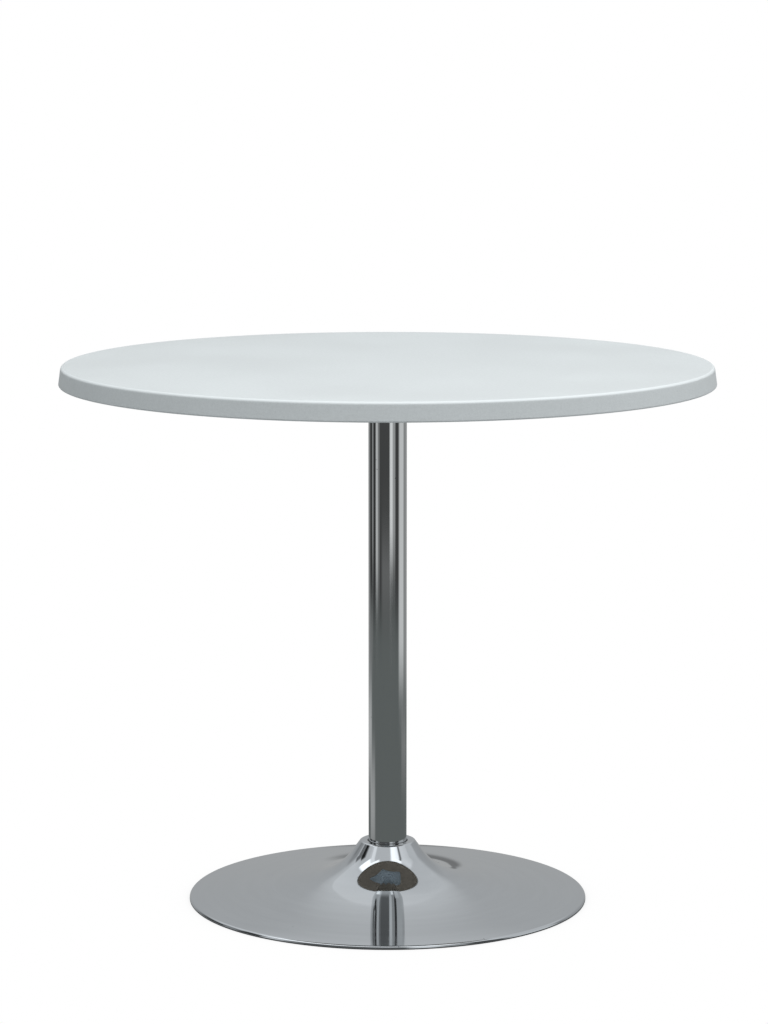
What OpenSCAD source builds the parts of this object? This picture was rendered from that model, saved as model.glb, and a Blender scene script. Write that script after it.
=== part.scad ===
// Bistro table: a round moulded top on a chrome column and a trumpet base.
// Millimetres. The origin is on the floor at the centre of the base, and +Z is up.
// A tie rod clamps the mounting plate, the column, the cup and the ballast together.

/* [Overall] */
// Height of the top surface above the floor
table_h = 750; // [700:5:780]

/* [Table top] */
// Diameter at the foot of the moulded edge
top_d = 900; // [700:10:1000]
// Depth of the moulded edge
edge_h = 26; // [24:1:32]
// Thickness of the board inside the edge
board_t = 18; // [16:1:20]
// Outward lean of the edge from vertical, in degrees
edge_draft = 8; // [0:1:12]
// Radius that rounds the upper edge
edge_r = 5; // [3:0.5:8]
// Radius that rounds the foot of the edge
edge_foot_r = 2; // [1.5:0.5:3]
// Thickness of the pressed decor skin
skin_t = 0.8; // [0.6:0.1:1]

/* [Mounting plate] */
// Width of the square plate across its flared rim
plate_w = 350; // [320:10:400]
// Thickness of the plate
plate_t = 3; // [2:0.5:4]
// Drop of the rim that is pressed down and out round the plate
plate_rim_h = 12; // [8:1:16]
// Diameter of the pressed dish where it leaves the plate
dish_d = 190; // [170:2:200]
// Diameter of the step half way down the dish
dish_step_d = 116; // [112:2:130]
// Distance between neighbouring plate screws
screw_pitch = 130; // [125:5:135]

/* [Column] */
// Outside diameter of the column tube
column_d = 53; // [48:1:56]
// Wall thickness of the tube
column_wall = 1.5; // [1.2:0.1:2]
// Diameter of the tie rod
rod_d = 12; // [10:1:12]

/* [Trumpet base] */
// Diameter of the base at the floor
base_d = 554; // [520:2:600]
// Height of the flat land at the top of the neck
neck_h = 80.9; // [78:0.1:86]
// Clearance between the column and the neck, filled by the neck bush
neck_gap = 1; // [0.8:0.1:1.5]
// Width of the flat land and the shoulder, up to their virtual corner
neck_land_w = 10.4; // [9:0.1:11]
// Steepness of the conical neck below the shoulder, in degrees
neck_slope = 54.5; // [50:0.5:58]
// Thickness of the spun shell
shell_t = 1.5; // [1:0.1:2]
// Steepness of the skirt where it reaches the rim, in degrees
rim_slope = 7; // [5:0.5:9]
// Height of the rim where the skirt meets it
rim_h = 5.2; // [4.6:0.1:6]

/* [Hidden] */
$fn = 96;
ARC_STEPS = 8;    // segments in a rounded corner
CURVE_STEPS = 28; // segments in each stretch of the shell's curve
EPS = 0.01;

top_r = top_d / 2;
column_r = column_d / 2;
base_r = base_d / 2;
neck_r = column_r + neck_gap;

// Table top
edge_land_w = 8;       // width of skin wrapped under the edge
edge_lip_w = 24;       // width of the solid lip round the underside
edge_recess_run = 10;  // run of the slope between the lip and the board
recess_r = 3;          // radius at both ends of that slope
edge_foot_z = table_h - edge_h;
board_z = table_h - board_t;

// Plate and its fasteners
plate_z = board_z - plate_t;
plate_corner_r = 12;
dish_depth = 19;
dish_step_depth = 9;
dish_floor_z = board_z - dish_depth - plate_t;
rod_hole_r = rod_d / 2 + 0.3;
insert_d = 8.5;
insert_h = 12;
screw_d = 6;
screw_head_d = 12;
screw_head_h = 4;
screw_reach = 10;
hex_key = 4;
plate_washer_d = 16;
plate_washer_t = 1.2;
screw_clear_r = 3.3;

// Stack of washers and nuts on the tie rod
washer_d = 30;
washer_t = 2.5;
lock_washer_d = 21;
lock_washer_t = 2.5;
lock_washer_slit = 2;
nut_flats = 19;
nut_h = 10;
stack_h = washer_t + lock_washer_t + nut_h;
rod_end = 2.5;
thread_pitch = 1.75;
thread_depth = 0.9;
thread_turns = 14;

// Base, from the floor up
floor_ring_h = 1.2;
floor_ring_w = 5;
floor_ring_lip_h = (rim_h - shell_t - floor_ring_h) * 0.6;
cover_z = 1;
cover_t = 1.5;
cover_hole_r = 24;
cover_gap = 1;
ballast_z = cover_z + cover_t;
ballast_rim_gap = 38;  // from the edge of the ballast to the rim
ballast_plateau_z = 21.5;
ballast_clear = 2.5;
ballast_hub_r = 42;
pocket_r = 22;
pocket_z = ballast_z + stack_h + rod_end - 0.5;
hub_web = 10;
cup_z = pocket_z + hub_web;
cup_t = 3;
cup_wall = 2.4;
cup_clear = 0.1;
neck_lip_h = 10.7;     // depth of the shell's turned-in lip
neck_lip_z = neck_h - neck_lip_h;
neck_lip_r = shell_t + 0.4;
shoulder_r = 3.5;
rim_r = (rim_h - floor_ring_h) * 0.86;
rim_run = rim_r + 0.2;  // width of the rim's own slope and rounding
bush_drop = 0.4;       // depth of the bush below the land
bush_clear = 0.02;
column_z = cup_z + cup_t;
column_top_z = dish_floor_z;
plug_h = 25;
plug_clear = 0.02;
rivet_count = 6;
rivet_ring_r = 150;
rivet_head_d = 14;
rivet_head_t = 0.7;
rivet_stem_d = 6;
rivet_stem_h = 8;

// Waypoints of the shell's outer curve
cone_len = 18.3;       // straight length of the conical neck below the shoulder
skirt_top = [neck_r + 83.4, neck_h * 0.331];
skirt_slope = 12.8;
cone_handle = 17.6;    // pulls of the curve's handles along its end tangents
flare_handle = 34.5;
skirt_handle = 48.7;

// ---- Outline helpers: points are [radius, height] in a half section ----

function unit(v) = v / norm(v);
function reverse(list) = [for (i = [len(list) - 1:-1:0]) list[i]];
function turn(a) = a > 180 ? a - 360 : a < -180 ? a + 360 : a;
function along(slope) = [cos(slope), -sin(slope)];

// Arc of radius r that rounds the corner at b between a and c
function corner(a, b, c, r) =
    let (
        u = unit(a - b),
        v = unit(c - b),
        half = acos(u * v) / 2,
        centre = b + unit(u + v) * r / sin(half),
        first = b + u * r / tan(half) - centre,
        last = b + v * r / tan(half) - centre,
        start = atan2(first.y, first.x),
        sweep = turn(atan2(last.y, last.x) - start)
    )
    [for (i = [0:ARC_STEPS]) let (t = start + sweep * i / ARC_STEPS) centre + r * [cos(t), sin(t)]];

// Cubic curve through p[0] and p[3], moved inset to the right of its direction
function curve_point(p, t) =
    pow(1 - t, 3) * p[0] + 3 * t * pow(1 - t, 2) * p[1] + 3 * t * t * (1 - t) * p[2] + pow(t, 3) * p[3];
function curve_tangent(p, t) =
    unit(pow(1 - t, 2) * (p[1] - p[0]) + 2 * t * (1 - t) * (p[2] - p[1]) + t * t * (p[3] - p[2]));
function curve(p, inset) = [
    for (i = [0:CURVE_STEPS])
        let (t = i / CURVE_STEPS, d = curve_tangent(p, t)) curve_point(p, t) - inset * [-d.y, d.x]
];

module lathe(points) {
    rotate_extrude() polygon(points);
}

module ring(outer_r, inner_r, z, h) {
    translate([0, 0, z]) difference() {
        cylinder(r = outer_r, h = h);
        translate([0, 0, -1]) cylinder(r = inner_r, h = h + 2);
    }
}

// Eight places on a square: its corners and the middles of its sides
module at_screws() {
    for (x = [-1:1], y = [-1:1])
        if (x != 0 || y != 0) translate([x * screw_pitch, y * screw_pitch, 0]) children();
}

module at_rivets() {
    for (i = [0:rivet_count - 1]) rotate(360 / rivet_count * i) translate([rivet_ring_r, 0, 0]) children();
}

// ---- Table top ----

function edge_x(z, inset) = top_r - (z - edge_foot_z) * tan(edge_draft) - inset / cos(edge_draft);

// Outside of the top, moved inset into the material, from the axis to the end of the wrapped skin
function top_line(inset) =
    let (
        high = table_h - inset,
        low = edge_foot_z + inset,
        axis = [0, high],
        shoulder = [edge_x(high, inset), high],
        foot = [edge_x(low, inset), low],
        end = [top_r - edge_land_w, low]
    )
    concat(
        [axis],
        corner(axis, shoulder, foot, edge_r - inset),
        corner(shoulder, foot, end, edge_foot_r - inset),
        [end]
    );

module top_skin() {
    color("gainsboro") lathe(concat(top_line(0), reverse(top_line(skin_t))));
}

module top_core() {
    lip = [top_r - edge_lip_w, edge_foot_z];
    rise = [top_r - edge_lip_w - edge_recess_run, board_z];
    land = [top_r - edge_land_w, edge_foot_z];
    color("saddlebrown") difference() {
        lathe(concat(
            top_line(skin_t),
            [land],
            corner(land, lip, rise, recess_r),
            corner(lip, rise, [0, board_z], recess_r),
            [[0, board_z]]
        ));
        at_screws() translate([0, 0, board_z - 1]) cylinder(d = insert_d, h = insert_h + 1);
    }
}

module threaded_inserts() {
    color("goldenrod") at_screws() difference() {
        translate([0, 0, board_z]) cylinder(d = insert_d, h = insert_h);
        translate([0, 0, board_z - 1]) cylinder(d = screw_d + 0.1, h = insert_h + 2);
    }
}

// ---- Mounting plate and its fasteners ----

module rounded_square(w, r, h) {
    half = w / 2;
    corners = [[half, half], [-half, half], [-half, -half], [half, -half]];
    linear_extrude(h) polygon([
        for (i = [0:3]) each corner(corners[(i + 3) % 4], corners[i], corners[(i + 1) % 4], r)
    ]);
}

// A flat-topped tray, upside down, that flares out at 45 degrees over its height
module flared_tray(w, top, h) {
    hull() {
        translate([0, 0, top - EPS]) rounded_square(w - 2 * h, plate_corner_r, EPS);
        translate([0, 0, top - h]) rounded_square(w, plate_corner_r + h, EPS);
    }
}

// The dish as a solid from the height top down, wider by grow; both of its steps drop at 45 degrees.
// proud carries the solid on above top, for a clean cut.
module dish(top, grow = 0, proud = 0) {
    mouth_r = dish_d / 2 + grow;
    step_r = dish_step_d / 2 + grow;
    step_z = top - dish_step_depth;
    floor_z = top - dish_depth;
    lathe([
        [0, top + proud],
        [mouth_r + proud, top + proud],
        [mouth_r - dish_step_depth, step_z],
        [step_r, step_z],
        [step_r - (step_z - floor_z), floor_z],
        [0, floor_z]
    ]);
}

module mounting_plate() {
    // Sideways shift between the two faces of a 45 degree wall
    wall = plate_t * tan(22.5);
    color("slategray") difference() {
        union() {
            flared_tray(plate_w, board_z, plate_rim_h);
            dish(plate_z, wall);
        }
        difference() {
            flared_tray(plate_w - 2 * wall, plate_z, plate_rim_h);
            dish(plate_z, wall);
        }
        dish(board_z, proud = EPS);
        translate([0, 0, dish_floor_z - 1]) cylinder(r = rod_hole_r, h = plate_t + 2);
        at_screws() translate([0, 0, plate_z - 1]) cylinder(r = screw_clear_r, h = plate_t + 2);
    }
}

module plate_screws() {
    seat_z = plate_z - plate_washer_t;
    color("silver") at_screws() difference() {
        union() {
            translate([0, 0, seat_z]) cylinder(d = screw_d, h = board_z - seat_z + screw_reach);
            translate([0, 0, seat_z - screw_head_h]) lathe(concat(
                [[0, screw_head_h], [screw_head_d / 2, screw_head_h]],
                corner([screw_head_d / 2, screw_head_h], [screw_head_d / 2, 0], [0, 0], screw_head_h * 0.6),
                [[0, 0]]
            ));
        }
        translate([0, 0, seat_z - screw_head_h - 1])
            cylinder(d = hex_key / cos(30), h = screw_head_h * 0.6 + 1, $fn = 6);
    }
}

module plate_washers() {
    low = plate_z - plate_washer_t;
    color("silver") at_screws() ring(plate_washer_d / 2, screw_clear_r, low, plate_washer_t);
}

// ---- Tie rod, washers and nuts ----

module washer(z) {
    color("silver") ring(washer_d / 2, rod_hole_r, z, washer_t);
}

module lock_washer(z) {
    color("dimgray") difference() {
        ring(lock_washer_d / 2, rod_hole_r, z, lock_washer_t);
        translate([0, -lock_washer_slit / 2, z - 1])
            cube([lock_washer_d, lock_washer_slit, lock_washer_t + 2]);
    }
}

module nut(z) {
    corner_r = nut_flats / 2 / cos(30);
    bevel = corner_r - nut_flats / 2;
    bevel_h = bevel * tan(30);
    color("silver") difference() {
        intersection() {
            translate([0, 0, z]) cylinder(r = corner_r, h = nut_h, $fn = 6);
            translate([0, 0, z]) lathe([
                [0, 0],
                [corner_r - bevel, 0],
                [corner_r + EPS, bevel_h],
                [corner_r + EPS, nut_h - bevel_h],
                [corner_r - bevel, nut_h],
                [0, nut_h]
            ]);
        }
        translate([0, 0, z - 1]) cylinder(r = rod_d / 2 + 0.05, h = nut_h + 2);
    }
}

upper_stack_z = dish_floor_z + plate_t;
rod_top_z = upper_stack_z + stack_h + rod_end;
rod_bottom_z = pocket_z - stack_h - rod_end + 0.5;

module tie_rod() {
    r = rod_d / 2;
    root = r - thread_depth;
    // Ridges and roots alternate over both threaded ends
    ridges = [for (i = [0:thread_turns]) each [[root, i * thread_pitch], [r, (i + 0.5) * thread_pitch]]];
    run = (thread_turns + 0.5) * thread_pitch;
    color("darkgray") lathe(concat(
        [[0, rod_bottom_z]],
        [for (p = ridges) [p.x, rod_bottom_z + p.y]],
        [for (p = reverse(ridges)) [p.x, rod_top_z - p.y]],
        [[0, rod_top_z]]
    ));
}

// ---- Column ----

module top_plug() {
    color("darkgray") ring(column_r - column_wall - plug_clear, rod_hole_r, column_top_z - plug_h, plug_h);
}

module column_tube() {
    color("lightgray") ring(column_r, column_r - column_wall, column_z, column_top_z - column_z);
}

module neck_bush() {
    h = neck_lip_h - bush_drop;
    color("black") ring(neck_r - bush_clear, column_r + bush_clear, neck_lip_z, h);
}

// ---- Trumpet base ----

neck_corner = [neck_r + neck_land_w, neck_h];
cone_end = neck_corner + along(neck_slope) * (cone_len + shoulder_r * tan(neck_slope / 2));
rim_join = [base_r - rim_run, rim_h];
flare_curve = [
    cone_end,
    cone_end + cone_handle * along(neck_slope),
    skirt_top - flare_handle * along(skirt_slope),
    skirt_top
];
skirt_curve = [
    skirt_top,
    skirt_top + skirt_handle * along(skirt_slope),
    rim_join - skirt_handle * along(rim_slope),
    rim_join
];

// Outside of the shell, moved inset into the metal, from the turned-in lip to the rim
function shell_line(inset) =
    let (
        lip = [neck_r + inset, neck_lip_z],
        lip_corner = [neck_r + inset, neck_h - inset],
        shoulder = [neck_corner.x - inset * tan(neck_slope / 2), neck_h - inset],
        rim_x = base_r - inset,
        rim_z = rim_h - (inset + (rim_x - rim_join.x) * sin(rim_slope)) / cos(rim_slope),
        rim = [rim_x, rim_z],
        hem = [rim_x, floor_ring_h]
    )
    concat(
        [lip],
        corner(lip, lip_corner, shoulder, neck_lip_r - inset),
        corner(lip_corner, shoulder, shoulder + along(neck_slope), shoulder_r - inset),
        curve(flare_curve, inset),
        [for (p = curve(skirt_curve, inset)) if (p.x > skirt_top.x + 1 && p.x < rim_x - rim_run) p],
        corner(rim - along(rim_slope), rim, hem, rim_r - inset),
        [hem]
    );

module base_shell() {
    color("lightgray") lathe(concat(shell_line(0), reverse(shell_line(shell_t))));
}

module column_cup() {
    bore_r = column_r + cup_clear;
    color("dimgray") difference() {
        lathe([
            [0, cup_z],
            [ballast_hub_r, cup_z],
            [ballast_hub_r, cup_z + cup_t],
            [bore_r + cup_wall, cup_z + cup_t],
            [bore_r + cup_wall, neck_lip_z],
            [0, neck_lip_z]
        ]);
        translate([0, 0, cup_z + cup_t]) cylinder(r = bore_r, h = neck_lip_z);
        translate([0, 0, cup_z - 1]) cylinder(r = rod_hole_r, h = cup_t + 2);
    }
}

module ballast() {
    rim_x = base_r - ballast_rim_gap;
    under_skirt = [
        for (p = curve(skirt_curve, shell_t + ballast_clear)) if (p.y < ballast_plateau_z && p.x < rim_x) p
    ];
    color("darkslategray") difference() {
        lathe(concat(
            [[0, cup_z], [ballast_hub_r, cup_z], [ballast_hub_r, ballast_plateau_z]],
            [[under_skirt[0].x - 2, ballast_plateau_z]],
            under_skirt,
            [[rim_x, ballast_z], [0, ballast_z]]
        ));
        translate([0, 0, ballast_z - 1]) cylinder(r = pocket_r, h = pocket_z - ballast_z + 1);
        translate([0, 0, pocket_z - 1]) cylinder(r = rod_hole_r, h = hub_web + 2);
        at_rivets() translate([0, 0, ballast_z - 1]) cylinder(d = rivet_stem_d, h = rivet_stem_h + 1.5);
    }
}

module bottom_cover() {
    color("black") difference() {
        ring(base_r - floor_ring_w - cover_gap, cover_hole_r, cover_z, cover_t);
        at_rivets() translate([0, 0, cover_z - 1]) cylinder(d = rivet_stem_d, h = cover_t + 2);
    }
}

module cover_rivets() {
    head_z = cover_z - rivet_head_t;
    color("black") at_rivets() {
        translate([0, 0, head_z]) cylinder(d = rivet_head_d, h = rivet_head_t);
        translate([0, 0, head_z]) cylinder(d = rivet_stem_d, h = rivet_head_t + cover_t + rivet_stem_h);
    }
}

module floor_ring() {
    inner_r = base_r - floor_ring_w;
    lip_r = base_r - shell_t;
    color("black") lathe([
        [inner_r, 0],
        [base_r, 0],
        [base_r, floor_ring_h],
        [lip_r, floor_ring_h],
        [lip_r, floor_ring_h + floor_ring_lip_h * 0.25],
        [lip_r - 0.6, floor_ring_h + floor_ring_lip_h],
        [lip_r - 1.8, floor_ring_h + floor_ring_lip_h],
        [inner_r, floor_ring_h]
    ]);
}

top_skin();
top_core();
threaded_inserts();
mounting_plate();
plate_screws();
plate_washers();
nut(upper_stack_z + washer_t + lock_washer_t);  // upper_nut
lock_washer(upper_stack_z + washer_t);  // upper_lock_washer
washer(upper_stack_z);  // upper_washer
top_plug();
column_tube();
tie_rod();
neck_bush();
column_cup();
base_shell();
ballast();
washer(pocket_z - washer_t);  // lower_washer
lock_washer(pocket_z - washer_t - lock_washer_t);  // lower_lock_washer
nut(pocket_z - stack_h);  // lower_nut
bottom_cover();
cover_rivets();
floor_ring();
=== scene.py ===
"""Bistro table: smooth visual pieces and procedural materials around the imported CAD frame. Metres, +Z up."""
import math

import bmesh
import bpy
from mathutils import Matrix, Vector


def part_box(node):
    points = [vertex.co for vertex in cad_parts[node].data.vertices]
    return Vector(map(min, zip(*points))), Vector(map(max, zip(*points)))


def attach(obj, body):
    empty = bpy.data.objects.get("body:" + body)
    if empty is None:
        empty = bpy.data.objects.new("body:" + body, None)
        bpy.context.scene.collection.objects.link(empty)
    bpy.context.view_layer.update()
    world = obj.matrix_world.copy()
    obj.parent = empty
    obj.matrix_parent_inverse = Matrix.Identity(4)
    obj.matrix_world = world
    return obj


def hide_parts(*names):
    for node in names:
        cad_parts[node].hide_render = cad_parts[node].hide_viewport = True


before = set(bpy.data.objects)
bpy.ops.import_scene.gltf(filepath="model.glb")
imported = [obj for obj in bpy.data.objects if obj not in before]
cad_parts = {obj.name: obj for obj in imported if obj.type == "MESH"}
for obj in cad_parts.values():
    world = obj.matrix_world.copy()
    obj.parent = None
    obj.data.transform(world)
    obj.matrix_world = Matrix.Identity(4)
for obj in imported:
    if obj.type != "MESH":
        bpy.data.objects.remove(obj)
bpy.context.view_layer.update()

MM = 0.001

# ---------------------------------------------------------------- mesh building

ROUND_SEGMENTS = 256      # sides of a large turned piece
SMALL_SEGMENTS = 96       # sides of a small one
CORNER_STEPS = 4          # segments in a softened corner
SHARP = math.radians(28)  # a steeper edge is shaded as an edge
GUARD = 0.3 * MM          # distance of a guard ring from the end of a straight run
GUARD_RATIO = 0.35        # a run gets a guard where its neighbour is shorter than this part of it
CORNER_SHARE = 0.4        # part of each neighbouring run that a softened corner may use
WELD = 1e-6               # points closer than this are one
CUT_WELD = 2e-6           # the same after a cut, whose new points are less exact
TINY = 1e-7               # shorter than any real edge or radius
STRAIGHT = 2e-4           # a smaller turn is a straight run, in radians
FLAT = math.radians(0.5)  # faces that turn less than this are merged


def temp_mesh(node):
    """A welded copy of a CAD node's mesh."""
    bm = bmesh.new()
    bm.from_mesh(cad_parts[node].data)
    bmesh.ops.remove_doubles(bm, verts=bm.verts, dist=WELD)
    return bm


def outline(node, azimuth=0.0):
    """The half section of a round CAD node as ordered (radius, height) points, and whether they close.

    The line is open where it meets the axis. The section is taken near the azimuth.
    """
    bm = temp_mesh(node)
    rim = max(math.hypot(v.co.x, v.co.y) for v in bm.verts)
    on_rim = [math.atan2(v.co.y, v.co.x) for v in bm.verts if math.hypot(v.co.x, v.co.y) > rim - 1e-5]
    nearest = min(on_rim, key=lambda a: abs(a - azimuth))
    bm.transform(Matrix.Rotation(-nearest, 4, "Z"))
    for normal, keep_side in (((0, 1, 0), False), ((-1, 0, 0), True)):
        everything = bm.verts[:] + bm.edges[:] + bm.faces[:]
        bmesh.ops.bisect_plane(bm, geom=everything, dist=WELD, plane_co=(0, 0, 0), plane_no=normal,
                               clear_outer=True, clear_inner=not keep_side)
    bmesh.ops.remove_doubles(bm, verts=bm.verts, dist=CUT_WELD)
    loose = [v for v in bm.verts if not v.link_edges]
    bmesh.ops.delete(bm, geom=loose, context="VERTS")
    ends = [v for v in bm.verts if len(v.link_edges) == 1]
    start = min(ends, key=lambda v: -v.co.z) if ends else min(bm.verts, key=lambda v: v.co.x)
    points, seen, here = [], set(), start
    while here is not None:
        seen.add(here)
        points.append(Vector((max(here.co.x, 0.0), here.co.z)))
        onward = [e.other_vert(here) for e in here.link_edges if e.other_vert(here) not in seen]
        here = onward[0] if onward else None
    bm.free()
    return tidy_line(points, closed=not ends), not ends


def tidy_line(points, closed):
    """The line without points that lie on a straight run."""
    kept = []
    count = len(points)
    for i, p in enumerate(points):
        if not closed and i in (0, count - 1):
            kept.append(p)
            continue
        a, b = p - points[i - 1], points[(i + 1) % count] - p
        if a.length > TINY and b.length > TINY and abs(a.angle_signed(b)) > STRAIGHT:
            kept.append(p)
    return kept


def soften(points, closed, radius):
    """The line with each sharp corner replaced by a small arc."""
    soft = []
    count = len(points)
    for i, p in enumerate(points):
        if not closed and i in (0, count - 1):
            soft.append(p)
            continue
        before, after = points[i - 1] - p, points[(i + 1) % count] - p
        turn = math.pi - before.angle(after)
        if turn < SHARP:
            soft.append(p)
            continue
        cut = min(radius, before.length * CORNER_SHARE, after.length * CORNER_SHARE)
        first, last = p + before.normalized() * cut, p + after.normalized() * cut
        for step in range(CORNER_STEPS + 1):
            t = step / CORNER_STEPS
            soft.append(first * (1 - t) ** 2 + p * 2 * t * (1 - t) + last * t * t)
    return soft


def guarded(points, closed):
    """The line with a point close to each end of a long run, so that smooth shading stays flat along it."""
    lined = []
    count = len(points)
    for i, p in enumerate(points):
        lined.append(p)
        if not closed and i == count - 1:
            break
        q = points[(i + 1) % count]
        run = q - p
        before = (p - points[i - 1]).length if closed or i > 0 else run.length
        after = (points[(i + 2) % count] - q).length if closed or i < count - 2 else run.length
        if before < run.length * GUARD_RATIO:
            lined.append(p + run.normalized() * min(GUARD, before))
        if after < run.length * GUARD_RATIO:
            lined.append(q - run.normalized() * min(GUARD, after))
    return lined


def lathe(name, points, closed, segments):
    """A turned solid from its half section."""
    bm = bmesh.new()
    rings = []
    for p in points:
        if p.x < TINY:
            rings.append([bm.verts.new((0, 0, p.y))])
            continue
        rings.append([bm.verts.new((p.x * math.cos(a), p.x * math.sin(a), p.y))
                      for a in (2 * math.pi * i / segments for i in range(segments))])
    pairs = list(zip(rings, rings[1:])) + ([(rings[-1], rings[0])] if closed else [])
    for low, high in pairs:
        for i in range(segments):
            j = (i + 1) % segments
            corners = [low[i % len(low)], low[j % len(low)], high[j % len(high)], high[i % len(high)]]
            face = [v for k, v in enumerate(corners) if v is not corners[k - 1]]
            if len(face) > 2:
                bm.faces.new(face)
    bmesh.ops.recalc_face_normals(bm, faces=bm.faces)
    return finish_mesh(name, bm)


def finish_mesh(name, bm):
    """A mesh object with smooth shading that breaks at sharp edges."""
    for face in bm.faces:
        face.smooth = True
    for edge in bm.edges:
        if len(edge.link_faces) == 2:
            edge.smooth = edge.calc_face_angle(0.0) < SHARP
    mesh = bpy.data.meshes.new(name)
    bm.to_mesh(mesh)
    bm.free()
    piece = bpy.data.objects.new(name, mesh)
    bpy.context.scene.collection.objects.link(piece)
    return piece


def dress(piece, node, material):
    """Gives a piece its material and lets it stand for a CAD node."""
    piece.data.materials.clear()
    piece.data.materials.append(material)
    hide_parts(node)
    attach(piece, "root")
    return piece


def turned(node, material, corner=0.3 * MM, segments=ROUND_SEGMENTS, azimuth=0.0):
    """A smooth turned piece in place of a round CAD node."""
    points, closed = outline(node, azimuth)
    line = guarded(soften(points, closed, corner), closed)
    return dress(lathe(node + "_turned", line, closed, segments), node, material)


def refined(node, material, bevel):
    """A CAD node's own shape, with its flat faces merged and its edges broken."""
    bm = temp_mesh(node)
    bmesh.ops.dissolve_limit(bm, angle_limit=FLAT, verts=bm.verts, edges=bm.edges)
    edges = [e for e in bm.edges if len(e.link_faces) == 2 and e.calc_face_angle(0.0) > SHARP]
    bmesh.ops.bevel(bm, geom=edges, offset=bevel, offset_type="OFFSET", segments=2, profile=0.5,
                    affect="EDGES", clamp_overlap=True)
    piece = finish_mesh(node + "_finished", bm)
    piece.modifiers.new("flat_faces", "WEIGHTED_NORMAL").keep_sharp = True
    return dress(piece, node, material)


THREAD_PITCH = 1.75 * MM
THREAD_DEPTH = 0.9 * MM
THREAD_TURNS = 14.5       # at each end of the rod
THREAD_STEPS = 8          # rings in one turn
THREAD_SEGMENTS = 48
THREAD_STEEPNESS = 1.3    # of the flanks, which leaves a flat at the bottom of the groove
THREAD_CHAMFER = 0.6      # chamfer at the rod's ends, as a part of the pitch


def threaded_rod(node, material):
    """A rod with a screw thread cut into both ends in place of its plain CAD node."""
    low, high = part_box(node)
    radius = (high[0] - low[0]) / 2
    thread_h = THREAD_TURNS * THREAD_PITCH
    steps = round(THREAD_TURNS * THREAD_STEPS)
    rises = [thread_h * i / steps for i in range(steps + 1)]
    heights = [low[2] + rise for rise in rises] + [high[2] - rise for rise in reversed(rises)]

    def reach(z, angle):
        """Distance of the surface from the axis, with the thread run out at both of its ends."""
        end = min(z - low[2], high[2] - z)
        phase = ((z - low[2]) / THREAD_PITCH - angle / (2 * math.pi)) % 1.0
        groove = min(1.0, abs(2 * phase - 1) * THREAD_STEEPNESS)
        cut = THREAD_DEPTH * groove * min(1.0, (thread_h - end) / THREAD_PITCH)
        chamfer = max(0.0, THREAD_PITCH * THREAD_CHAMFER - end)
        return radius - max(cut, chamfer)

    bm = bmesh.new()
    angles = [2 * math.pi * i / THREAD_SEGMENTS for i in range(THREAD_SEGMENTS)]
    rings = [[bm.verts.new((reach(z, a) * math.cos(a), reach(z, a) * math.sin(a), z)) for a in angles]
             for z in heights]
    for below, above in zip(rings, rings[1:]):
        for i in range(THREAD_SEGMENTS):
            bm.faces.new((below[i - 1], below[i], above[i], above[i - 1]))
    bm.faces.new(list(reversed(rings[0])))
    bm.faces.new(rings[-1])
    bmesh.ops.recalc_face_normals(bm, faces=bm.faces)
    return dress(finish_mesh(node + "_threaded", bm), node, material)


# ---------------------------------------------------------------- node trees

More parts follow.
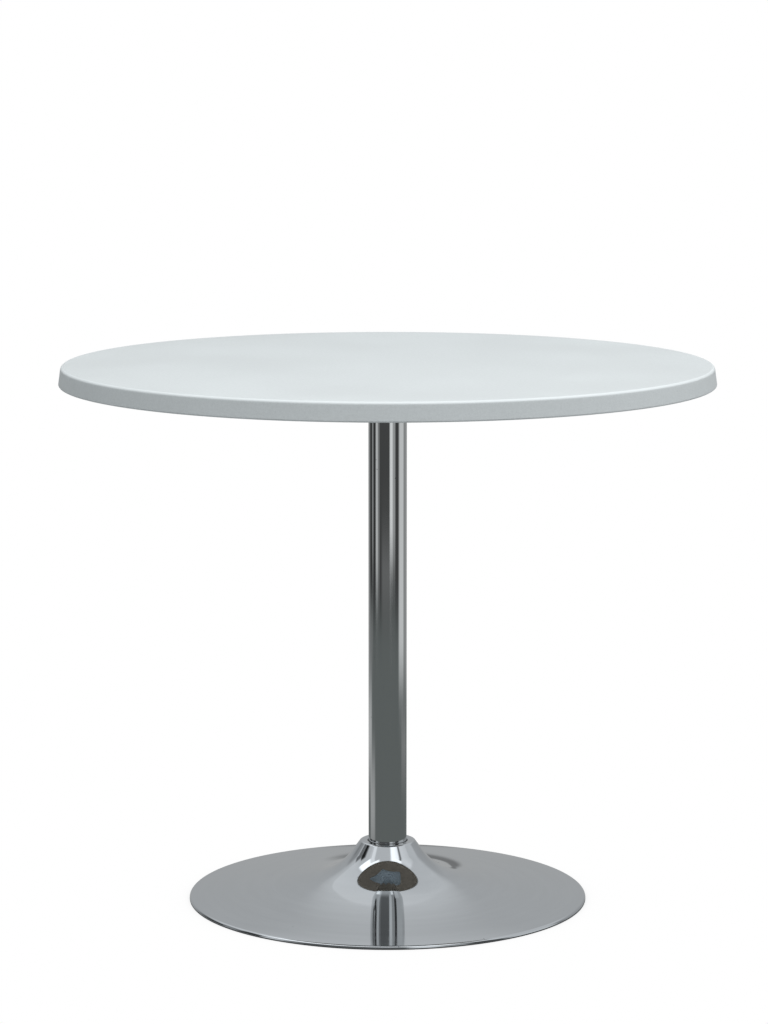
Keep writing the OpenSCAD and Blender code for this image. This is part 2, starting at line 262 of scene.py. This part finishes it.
class Tree:
    """Short calls for building one node tree."""

    def __init__(self, owner):
        owner.use_nodes = True
        self.nodes = owner.node_tree.nodes
        self.links = owner.node_tree.links
        self.nodes.clear()

    def add(self, kind, inputs=None, **settings):
        made = self.nodes.new(kind)
        for key, value in settings.items():
            setattr(made, key, value)
        for key, value in (inputs or {}).items():
            socket = made.inputs[key]
            if isinstance(value, bpy.types.NodeSocket):
                self.links.new(value, socket)
            elif socket.type == "RGBA" and len(value) == 3:
                socket.default_value = (*value, 1)
            else:
                socket.default_value = value
        return made

    def math(self, operation, a, b=0.0):
        return self.add("ShaderNodeMath", {0: a, 1: b}, operation=operation).outputs[0]

    def vector(self, operation, a, b=(0, 0, 0)):
        made = self.add("ShaderNodeVectorMath", {0: a, 1: b}, operation=operation)
        return made.outputs["Value" if operation in ("DOT_PRODUCT", "LENGTH") else "Vector"]

    def scaled(self, a, factor):
        return self.add("ShaderNodeVectorMath", {0: a, "Scale": factor}, operation="SCALE").outputs[0]

    def parts(self, vector):
        return self.add("ShaderNodeSeparateXYZ", {0: vector}).outputs

    def joined(self, x, y, z):
        return self.add("ShaderNodeCombineXYZ", {0: x, 1: y, 2: z}).outputs[0]

    def place(self):
        """Position in metres, which is the same in object and table space."""
        return self.add("ShaderNodeTexCoord").outputs["Object"]

    def around(self, turns, across, up):
        """Position for patterns that run round the axis: direction, distance and height, each scaled."""
        x, y, z = self.parts(self.place())
        flat = self.joined(x, y, 0.0)
        radius = self.vector("LENGTH", flat)
        heading = self.scaled(self.vector("NORMALIZE", flat), turns)
        far = self.math("MULTIPLY", radius, across)
        high = self.math("MULTIPLY", z, up)
        return self.vector("ADD", heading, self.joined(0.0, 0.0, self.math("ADD", far, high)))

    def noise(self, where, scale, detail=2.0, roughness=0.5):
        settings = {"Vector": where, "Scale": scale, "Detail": detail, "Roughness": roughness}
        return self.add("ShaderNodeTexNoise", settings).outputs["Fac"]

    def cells(self, where, scale, feature="F1"):
        made = self.add("ShaderNodeTexVoronoi", {"Vector": where, "Scale": scale}, feature=feature)
        return made.outputs["Distance"]

    def span(self, value, low, high, to_low=0.0, to_high=1.0, kind="SMOOTHSTEP"):
        """value between low and high, carried to between to_low and to_high."""
        settings = {"Value": value, "From Min": low, "From Max": high, "To Min": to_low, "To Max": to_high}
        return self.add("ShaderNodeMapRange", settings, interpolation_type=kind).outputs["Result"]

    def mix(self, factor, a, b):
        made = self.add("ShaderNodeMix", {"Factor": factor}, data_type="RGBA")
        for socket, value in ((made.inputs[6], a), (made.inputs[7], b)):
            if isinstance(value, bpy.types.NodeSocket):
                self.links.new(value, socket)
            else:
                socket.default_value = (*value, 1)
        return made.outputs[2]

    def bump(self, height, distance, normal=None):
        inputs = {"Height": height, "Distance": distance, "Strength": 1.0}
        if normal is not None:
            inputs["Normal"] = normal
        return self.add("ShaderNodeBump", inputs).outputs["Normal"]

    def edges(self, radius, low=0.015, high=0.16):
        """1 along edges and 0 on open surfaces."""
        rounded = self.add("ShaderNodeBevel", {"Radius": radius}, samples=6).outputs["Normal"]
        straight = self.add("ShaderNodeNewGeometry").outputs["Normal"]
        return self.span(self.math("SUBTRACT", 1.0, self.vector("DOT_PRODUCT", rounded, straight)), low, high)

    def surface(self, colour, roughness, normal=None, metallic=0.0, **more):
        inputs = {"Base Color": colour, "Roughness": roughness, "Metallic": metallic, **more}
        if normal is not None:
            inputs["Normal"] = normal
        shader = self.add("ShaderNodeBsdfPrincipled", inputs)
        self.add("ShaderNodeOutputMaterial", {"Surface": shader.outputs[0]})


def shade(colour, factor):
    return tuple(c * factor for c in colour)


# ---------------------------------------------------------------- materials

COLUMN_CHROME = (0.60, 0.615, 0.62)
BASE_CHROME = (0.585, 0.615, 0.65)
DECOR = (0.665, 0.70, 0.708)
BOARD = (0.335, 0.285, 0.226)
PLATE = (0.44, 0.50, 0.54)
ZINC = (0.60, 0.61, 0.63)
STEEL = (0.36, 0.37, 0.385)
SPRING = (0.10, 0.10, 0.105)
BRASS = (0.60, 0.42, 0.15)
IRON = (0.075, 0.08, 0.085)
BLACK = (0.018, 0.018, 0.019)


def polished_chrome(name, tint, turns, across, up):
    """Mirror chrome with faint polishing lines, smears and a few pits. The three scales aim its lines."""
    material = bpy.data.materials.new(name)
    t = Tree(material)
    where = t.place()
    lines = t.noise(t.around(turns, across, up), 1.0, 3.0, 0.6)
    smear = t.noise(t.around(turns * 0.5, across * 0.08, up * 0.08), 1.0, 4.0, 0.55)
    haze = t.noise(where, 14.0, 3.0)
    pits = t.span(t.cells(where, 42.0), 0.035, 0.02)
    edge_band = t.edges(0.6 * MM)
    colour = t.mix(t.span(smear, 0.35, 0.7), shade(tint, 0.97), tint)
    colour = t.mix(pits, colour, shade(tint, 0.12))
    colour = t.mix(t.math("MULTIPLY", edge_band, 0.35), colour, shade(tint, 1.2))
    rough = t.span(t.math("ADD", smear, haze), 0.7, 1.4, 0.03, 0.075)
    rough = t.math("ADD", rough, t.math("MULTIPLY", t.math("ADD", pits, t.math("MULTIPLY", edge_band, 0.3)), 0.3))
    normal = t.bump(lines, 0.0006 * MM)
    normal = t.bump(pits, -0.02 * MM, normal)
    t.surface(colour, rough, normal, metallic=1.0)
    return material


def decor_skin():
    """Pale grey pressed decor: a fine pebble grain, uneven tone, and a painted highlight on the edges and the
    rounded rim.
    """
    material = bpy.data.materials.new("decor_skin")
    t = Tree(material)
    where = t.place()
    cloud = t.noise(where, 5.0, 4.0)
    mottle = t.noise(where, 260.0, 3.0, 0.65)
    fine = t.noise(where, 900.0, 2.0)
    pebble = t.cells(where, 720.0, "SMOOTH_F1")
    speck = t.span(t.cells(where, 60.0), 0.03, 0.015)
    # Painted highlight: along the edges, and where the normal faces part way up on the rounded rim, the decor
    # is painted lighter and a little glossier.
    rise = t.parts(t.add("ShaderNodeNewGeometry").outputs["Normal"])[2]
    rounding = t.math("MULTIPLY", t.span(rise, 0.25, 0.6), t.span(rise, 0.995, 0.9))
    edge_band = t.math("MAXIMUM", t.edges(2.0 * MM), rounding)
    colour = t.mix(t.span(cloud, 0.3, 0.7), shade(DECOR, 0.965), shade(DECOR, 1.02))
    colour = t.mix(t.span(mottle, 0.3, 0.7, 0.0, 0.6), colour, shade(DECOR, 0.90))
    colour = t.mix(t.span(pebble, 0.2, 0.8, 0.0, 0.35), colour, shade(DECOR, 1.08))
    colour = t.mix(t.math("MULTIPLY", speck, 0.6), colour, shade(DECOR, 0.35))
    # Painted highlight: lighter decor colour on the edges and the rim's rounding.
    colour = t.mix(t.math("MULTIPLY", edge_band, 0.8), colour, shade(DECOR, 1.24))
    rough = t.span(t.math("ADD", fine, cloud), 0.7, 1.3, 0.42, 0.56)
    rough = t.math("SUBTRACT", rough, t.math("MULTIPLY", edge_band, 0.08))
    normal = t.bump(mottle, 0.05 * MM)
    normal = t.bump(pebble, 0.05 * MM, normal)
    t.surface(colour, rough, normal, **{"Specular IOR Level": 0.4})
    return material


def moulded_board():
    """Brown pressed wood fibre: matted fibres, dark bark flecks, resin-rich patches and a rubbed rim."""
    material = bpy.data.materials.new("moulded_board")
    t = Tree(material)
    where = t.place()
    bent = t.vector("ADD", where, t.scaled(t.joined(t.noise(where, 30.0), t.noise(where, 31.0), 0.5), 0.012))
    fibre_x = t.noise(t.vector("MULTIPLY", bent, (120.0, 900.0, 900.0)), 1.0, 3.0, 0.6)
    fibre_y = t.noise(t.vector("MULTIPLY", bent, (900.0, 120.0, 900.0)), 1.0, 3.0, 0.6)
    patches = t.noise(where, 14.0, 4.0, 0.6)
    fleck = t.span(t.noise(t.vector("MULTIPLY", bent, (420.0, 260.0, 420.0)), 1.0, 1.0), 0.68, 0.76)
    edge_band = t.edges(1.5 * MM)
    fibres = t.math("MAXIMUM", fibre_x, fibre_y)
    colour = t.mix(t.span(fibres, 0.4, 0.75), shade(BOARD, 0.72), shade(BOARD, 1.28))
    colour = t.mix(t.span(patches, 0.35, 0.7, 0.0, 0.55), colour, shade(BOARD, 0.78))
    colour = t.mix(t.math("MULTIPLY", fleck, 0.8), colour, shade(BOARD, 0.3))
    colour = t.mix(t.math("MULTIPLY", edge_band, 0.5), colour, shade(BOARD, 1.7))
    rough = t.span(t.math("ADD", patches, fibres), 0.8, 1.5, 0.78, 0.55)
    normal = t.bump(fibres, 0.12 * MM)
    normal = t.bump(patches, 0.2 * MM, normal)
    t.surface(colour, rough, normal)
    return material


def powder_coat():
    """Satin metallic powder coat: orange peel, edges rubbed bright and a scuff here and there."""
    material = bpy.data.materials.new("plate_paint")
    t = Tree(material)
    where = t.place()
    peel = t.noise(where, 520.0, 2.0)
    cloud = t.noise(where, 16.0, 4.0)
    flake = t.noise(where, 2600.0, 1.0)
    scuff = t.span(t.noise(t.vector("MULTIPLY", where, (30.0, 240.0, 240.0)), 1.0, 4.0, 0.7), 0.62, 0.72)
    edge_band = t.edges(1.6 * MM)
    chip = t.math("MULTIPLY", edge_band, t.span(t.noise(where, 140.0, 3.0), 0.5, 0.62))
    colour = t.mix(t.span(cloud, 0.3, 0.7), shade(PLATE, 0.92), shade(PLATE, 1.06))
    colour = t.mix(t.span(flake, 0.45, 0.7, 0.0, 0.4), colour, shade(PLATE, 1.3))
    colour = t.mix(t.math("MULTIPLY", scuff, 0.3), colour, shade(PLATE, 0.7))
    colour = t.mix(t.math("MULTIPLY", edge_band, 0.7), colour, shade(PLATE, 1.9))
    rough = t.math("ADD", t.span(cloud, 0.3, 0.7, 0.26, 0.36), t.math("MULTIPLY", scuff, 0.15))
    t.surface(colour, rough, t.bump(peel, 0.04 * MM), metallic=t.span(chip, 0.3, 0.7, 0.4, 1.0))
    return material


def machined(name, colour, rough_low, rough_high, tint, lines=(6.0, 1400.0, 1400.0), cast=0.0):
    """Bare or plated metal: tool lines round the axis, cloudy tone, stains in a tint and bright edges."""
    material = bpy.data.materials.new(name)
    t = Tree(material)
    where = t.place()
    marks = t.noise(t.around(*lines), 1.0, 2.0, 0.6)
    cloud = t.noise(where, 90.0, 4.0, 0.6)
    stain = t.span(t.noise(where, 45.0, 5.0, 0.65), 0.5, 0.72)
    grit = t.noise(where, 1300.0, 2.0)
    edge_band = t.edges(0.5 * MM)
    shown = t.mix(t.span(cloud, 0.3, 0.7), shade(colour, 0.82), shade(colour, 1.08))
    shown = t.mix(t.math("MULTIPLY", stain, 0.5), shown, tint)
    shown = t.mix(t.math("MULTIPLY", edge_band, 0.6), shown, shade(colour, 1.35))
    rough = t.span(t.math("ADD", cloud, marks), 0.7, 1.3, rough_low, rough_high)
    rough = t.math("ADD", rough, t.math("MULTIPLY", stain, 0.12))
    normal = t.bump(marks, 0.006 * MM)
    normal = t.bump(grit, (0.004 + cast) * MM, normal)
    t.surface(shown, rough, normal, metallic=1.0)
    return material


def cast_iron():
    """Primed sand casting: a coarse grainy skin with rust bleeding through and rubbed high spots."""
    material = bpy.data.materials.new("grey_iron")
    t = Tree(material)
    where = t.place()
    sand = t.noise(where, 620.0, 4.0, 0.7)
    lumps = t.noise(where, 60.0, 3.0)
    rust = t.span(t.noise(where, 22.0, 5.0, 0.7), 0.56, 0.7)
    edge_band = t.edges(1.5 * MM)
    colour = t.mix(t.span(lumps, 0.3, 0.7), shade(IRON, 0.75), shade(IRON, 1.3))
    colour = t.mix(t.math("MULTIPLY", rust, 0.7), colour, (0.14, 0.06, 0.03))
    colour = t.mix(t.math("MULTIPLY", edge_band, 0.6), colour, shade(IRON, 2.6))
    rough = t.span(sand, 0.3, 0.7, 0.6, 0.85)
    normal = t.bump(sand, 0.25 * MM)
    normal = t.bump(lumps, 0.6 * MM, normal)
    t.surface(colour, rough, normal, metallic=0.3)
    return material


def black_plastic(name, grain, depth, rough_low, rough_high, dust=0.25):
    """Black plastic or rubber: moulded grain, dust in patches, scratches and greyed edges."""
    material = bpy.data.materials.new(name)
    t = Tree(material)
    where = t.place()
    skin = t.cells(where, grain, "SMOOTH_F1")
    cloud = t.noise(where, 12.0, 5.0, 0.6)
    scratch = t.span(t.noise(t.vector("MULTIPLY", where, (45.0, 900.0, 300.0)), 1.0, 3.0, 0.7), 0.64, 0.7)
    edge_band = t.edges(0.8 * MM)
    dusty = t.math("MULTIPLY", t.span(cloud, 0.45, 0.75), dust)
    colour = t.mix(dusty, BLACK, (0.11, 0.105, 0.095))
    colour = t.mix(t.math("MULTIPLY", scratch, 0.25), colour, shade(BLACK, 4.0))
    colour = t.mix(t.math("MULTIPLY", edge_band, 0.5), colour, shade(BLACK, 5.0))
    rough = t.math("ADD", t.span(skin, 0.2, 0.8, rough_low, rough_high), t.math("MULTIPLY", dusty, 0.3))
    t.surface(colour, rough, t.bump(skin, depth))
    return material


SKIRT_LINES = (3.0, 900.0, 0.0)   # rings round the base
DRAWN_LINES = (260.0, 0.0, 2.0)   # lines up the tube

decor = decor_skin()
board = moulded_board()
base_chrome = polished_chrome("base_chrome", BASE_CHROME, *SKIRT_LINES)
column_chrome = polished_chrome("column_chrome", COLUMN_CHROME, *DRAWN_LINES)
plate = powder_coat()
zinc = machined("zinc_steel", ZINC, 0.2, 0.38, (0.52, 0.47, 0.36))
spring = machined("spring_steel", SPRING, 0.3, 0.5, (0.05, 0.04, 0.04))
steel = machined("plain_steel", STEEL, 0.3, 0.5, (0.2, 0.13, 0.09))
brass = machined("insert_brass", BRASS, 0.22, 0.4, (0.3, 0.2, 0.09))
iron = cast_iron()
nylon = black_plastic("black_nylon", 1500.0, 0.02 * MM, 0.4, 0.55)
sheet = black_plastic("black_sheet", 900.0, 0.06 * MM, 0.45, 0.65, dust=0.4)
pvc = black_plastic("black_pvc", 1800.0, 0.015 * MM, 0.5, 0.62)

# ---------------------------------------------------------------- pieces

BETWEEN_INSERTS = math.radians(22)  # a section there misses the insert bores

turned("top_skin", decor)
turned("top_core", board, azimuth=BETWEEN_INSERTS)
turned("column_tube", column_chrome)
turned("base_shell", base_chrome)
turned("neck_bush", nylon, segments=SMALL_SEGMENTS)
turned("floor_ring", pvc)
turned("top_plug", steel, segments=SMALL_SEGMENTS)
turned("column_cup", steel, segments=SMALL_SEGMENTS)
turned("upper_washer", zinc, segments=SMALL_SEGMENTS)
turned("lower_washer", zinc, segments=SMALL_SEGMENTS)
refined("mounting_plate", plate, 1.0 * MM)
refined("ballast", iron, 1.0 * MM)
refined("bottom_cover", sheet, 0.3 * MM)
refined("cover_rivets", nylon, 0.3 * MM)
refined("threaded_inserts", brass, 0.2 * MM)
threaded_rod("tie_rod", zinc)
for node in ("plate_screws", "plate_washers", "upper_nut", "lower_nut"):
    refined(node, zinc, 0.2 * MM)
for node in ("upper_lock_washer", "lower_lock_washer"):
    refined(node, spring, 0.2 * MM)

# ---------------------------------------------------------------- studio

CAMERA_TURN = -20.0  # degrees from the front of the table, the -Y side, towards +X


def towards(azimuth, elevation=0.0):
    """Unit vector at an azimuth in degrees from the camera's side, growing towards the picture's right."""
    turn, rise = math.radians(azimuth + CAMERA_TURN), math.radians(elevation)
    return Vector((math.sin(turn) * math.cos(rise), -math.cos(turn) * math.cos(rise), math.sin(rise)))


WHITE = (0.985, 1.0, 1.0)
STUDIO_FLOOR = (0.165, 0.18, 0.177)
STUDIO_CEILING = (0.69, 0.70, 0.70)
STUDIO_DARK = (0.045, 0.046, 0.046)
AMBIENT_LOW = (0.14, 0.147, 0.15)
AMBIENT_HIGH = (1.02, 1.05, 1.065)
AMBIENT_RISE = (5, 70)    # elevations between which the ambient light grows
FLOOR_LINE = -10.2
WALL_LINE = -11.4
CEILING_LINE = 22.0
CEILING_SOFT = 6.0
CARD_FOOT = 0.7           # softness of a card's lower end
CARD_TOP = 6.0            # largest softness of its upper end
# Name, azimuth, half width, softness, lowest and highest elevation in degrees, brightness low and high
STUDIO_CARDS = [
    ("back wall", 180, 44, 16, WALL_LINE, 28, 0.40, 0.54),
    ("right back wall", 138, 20, 6, WALL_LINE, 28, 0.37, 0.50),
    ("right wall", 92.5, 19.5, 8, WALL_LINE, 40, 0.80, 0.68),
    ("front wall", -20, 34, 8, FLOOR_LINE, 46, 0.075, 0.23),
    ("front skirting", -8, 26, 8, FLOOR_LINE, -9.0, 0.22, 0.18),
    ("right gap", 57.5, 8.5, 3, FLOOR_LINE, 44, 0.07, 0.07),
    ("left gap", -88, 8, 4, FLOOR_LINE, 34, 0.05, 0.05),
    ("key spill", 37, 8.5, 5, -9.5, 47, 0.46, 0.50),
    ("key card", 21.5, 7.5, 5, -9.4, 47, 0.98, 0.88),
    ("left window spill", -57, 6, 4, -9.9, 40, 0.28, 0.30),
    ("left window", -68.5, 6.5, 4, -9.9, 50, 0.70, 0.80),
    ("left strip", -101, 5, 4, -9.5, 30, 0.34, 0.28),
    ("left mat edge", -122, 20, 8, -11.0, -10.4, 0.28, 0.28),
    ("far mat", -140, 28, 8, -13.0, -11.5, 0.56, 0.56),
    ("near mat", -104, 20, 8, -14.2, -12.8, 0.50, 0.50),
    ("right mat", 118, 24, 8, -13.0, -12.0, 0.30, 0.30),
    ("far doorway", 178, 3.5, 1, -2.2, 1.2, 0.2, 0.2),
    ("left back ceiling", -150, 34, 12, 34, 90, 0.81, 0.81),
    ("black flag", -97, 8, 2, 32, 39, 0.02, 0.02),
    ("black flag middle", -113, 8, 2, 27, 34, 0.20, 0.20),
    ("black flag corner", -131, 9, 5, 18, 26, 0.36, 0.36),
    ("high key card", 38, 10, 4, 47, 57, 1.5, 1.5),
    ("right glow", 79, 19, 6, 40, 57, 0.80, 1.05),
    ("high gap", 55, 3, 2, 44, 57, 0.25, 0.25),
    ("high window", -64, 8, 4, 47, 57, 1.1, 1.1),
    ("left overhead light", -92, 19, 5, 47, 90, 1.8, 1.8),
    ("front overhead light", -62, 24, 6, 55, 90, 1.7, 1.7),
    ("middle overhead light", -10, 50, 8, 60, 90, 1.5, 1.5),
    ("right overhead light", 38, 22, 6, 54, 90, 1.7, 1.7),
]


def studio_world():
    """A pale room for diffuse light, a studio of cards for reflections, and white behind the picture."""
    world = bpy.data.worlds.new("studio")
    bpy.context.scene.world = world
    t = Tree(world)
    incoming = t.add("ShaderNodeNewGeometry").outputs["Incoming"]
    direction = t.scaled(incoming, -1.0)
    x, y, z = t.parts(direction)
    flat = t.vector("NORMALIZE", t.joined(x, y, 0.0))
    elevation = t.math("MULTIPLY", t.math("ARCSINE", z), 180 / math.pi)

    def card(behind, name, azimuth, half, soft, lowest, highest, dim, bright):
        facing = t.vector("DOT_PRODUCT", flat, towards(azimuth))
        outer, inner = math.cos(math.radians(half + soft)), math.cos(math.radians(half - soft))
        mask = t.span(facing, outer, inner)
        end = CARD_FOOT if highest < 0 else min(CARD_TOP, soft)
        mask = t.math("MULTIPLY", mask, t.span(elevation, lowest - CARD_FOOT, lowest + CARD_FOOT))
        mask = t.math("MULTIPLY", mask, t.span(elevation, highest + end, highest - end))
        mask.node.label = name
        rise = t.span(elevation, lowest, highest, kind="LINEAR")
        lit = t.mix(rise, shade(WHITE, dim), shade(WHITE, bright))
        return t.mix(mask, behind, lit)

    room = t.mix(t.span(elevation, FLOOR_LINE - CARD_FOOT, FLOOR_LINE + CARD_FOOT), STUDIO_FLOOR, STUDIO_DARK)
    overhead = t.span(elevation, CEILING_LINE - CEILING_SOFT, CEILING_LINE + CEILING_SOFT)
    room = t.mix(overhead, room, STUDIO_CEILING)
    for row in STUDIO_CARDS:
        room = card(room, *row)
    ambient = t.mix(t.span(elevation, *AMBIENT_RISE), AMBIENT_LOW, AMBIENT_HIGH)
    rays = t.add("ShaderNodeLightPath")
    chosen = t.mix(rays.outputs["Is Glossy Ray"], ambient, room)
    chosen = t.mix(rays.outputs["Is Camera Ray"], chosen, (1.0, 1.0, 1.0))
    background = t.add("ShaderNodeBackground", {"Color": chosen, "Strength": 1.0})
    t.add("ShaderNodeOutputWorld", {"Surface": background.outputs[0]})


def floor_glow_with_painted_shadow():
    """Pale floor that glows plain white for the camera and runs into the white background, with a painted
    contact shadow where the base stands; other rays see a pale diffuse floor.
    """
    material = bpy.data.materials.new("floor_glow_with_painted_shadow")
    t = Tree(material)
    # Painted contact shadow: ambient occlusion darkens the camera's white glow near the base.
    painted_shadow_ao = t.add("ShaderNodeAmbientOcclusion", {"Distance": 0.25}, samples=8).outputs["AO"]
    seen = t.add("ShaderNodeEmission", {"Color": t.mix(painted_shadow_ao, (0.70, 0.71, 0.72), (1.0, 1.0, 1.0))})
    grain = t.noise(t.place(), 3.0, 3.0)
    lit = t.add("ShaderNodeBsdfDiffuse", {"Color": t.mix(grain, (0.47, 0.48, 0.485), (0.50, 0.51, 0.515))})
    rays = t.add("ShaderNodeLightPath").outputs
    top = t.add("ShaderNodeMixShader", {0: rays["Is Camera Ray"], 1: lit.outputs[0], 2: seen.outputs[0]})
    below = t.math("MULTIPLY", rays["Is Camera Ray"], t.add("ShaderNodeNewGeometry").outputs["Backfacing"])
    clear = t.add("ShaderNodeBsdfTransparent")
    shader = t.add("ShaderNodeMixShader", {0: below, 1: top.outputs[0], 2: clear.outputs[0]})
    t.add("ShaderNodeOutputMaterial", {"Surface": shader.outputs[0]})
    material.cycles.emission_sampling = "NONE"
    return material


FLOOR_HALF = 30.0


def floor():
    """A wide plane that reflections don't see, because the studio has its own floor for them."""
    bm = bmesh.new()
    bmesh.ops.create_grid(bm, x_segments=4, y_segments=4, size=FLOOR_HALF)
    mesh = bpy.data.meshes.new("floor")
    bm.to_mesh(mesh)
    bm.free()
    made = bpy.data.objects.new("floor", mesh)
    bpy.context.scene.collection.objects.link(made)
    made.data.materials.append(floor_glow_with_painted_shadow())
    made.visible_glossy = False


def softbox(name, azimuth, distance, height, size, power):
    """A round area light that points at the table."""
    data = bpy.data.lights.new(name, "AREA")
    data.shape = "DISK"
    data.size = size
    data.energy = power
    made = bpy.data.objects.new(name, data)
    made.location = towards(azimuth) * distance + Vector((0, 0, height))
    made.rotation_euler = (Vector((0, 0, 0.6)) - made.location).to_track_quat("-Z", "Y").to_euler()
    made.visible_camera = False
    made.visible_glossy = False
    bpy.context.scene.collection.objects.link(made)


studio_world()
floor()
softbox("overhead", 25, 1.25, 3.3, 2.4, 46)
softbox("right_fill", 95, 3.2, 1.2, 2.0, 15)
softbox("left_fill", -95, 3.2, 0.7, 1.6, 4)

# ---------------------------------------------------------------- camera

CAMERA_BACK, CAMERA_UP, CAMERA_SIDE = 4.662, 1.25, -0.005
CAMERA_PITCH = math.radians(8.61)
CAMERA_LENS = 120.2       # millimetres, on a sensor of the next width
CAMERA_SENSOR = 36


def camera():
    """The camera, level across and aimed a little down."""
    data = bpy.data.cameras.new("camera")
    data.lens = CAMERA_LENS
    data.sensor_width = CAMERA_SENSOR
    made = bpy.data.objects.new("camera", data)
    made.location = towards(0) * CAMERA_BACK + towards(90) * CAMERA_SIDE + Vector((0, 0, CAMERA_UP))
    made.rotation_euler = (math.pi / 2 - CAMERA_PITCH, 0, math.radians(CAMERA_TURN))
    bpy.context.scene.collection.objects.link(made)
    bpy.context.scene.camera = made


camera()
bpy.context.scene.view_settings.view_transform = "Standard"
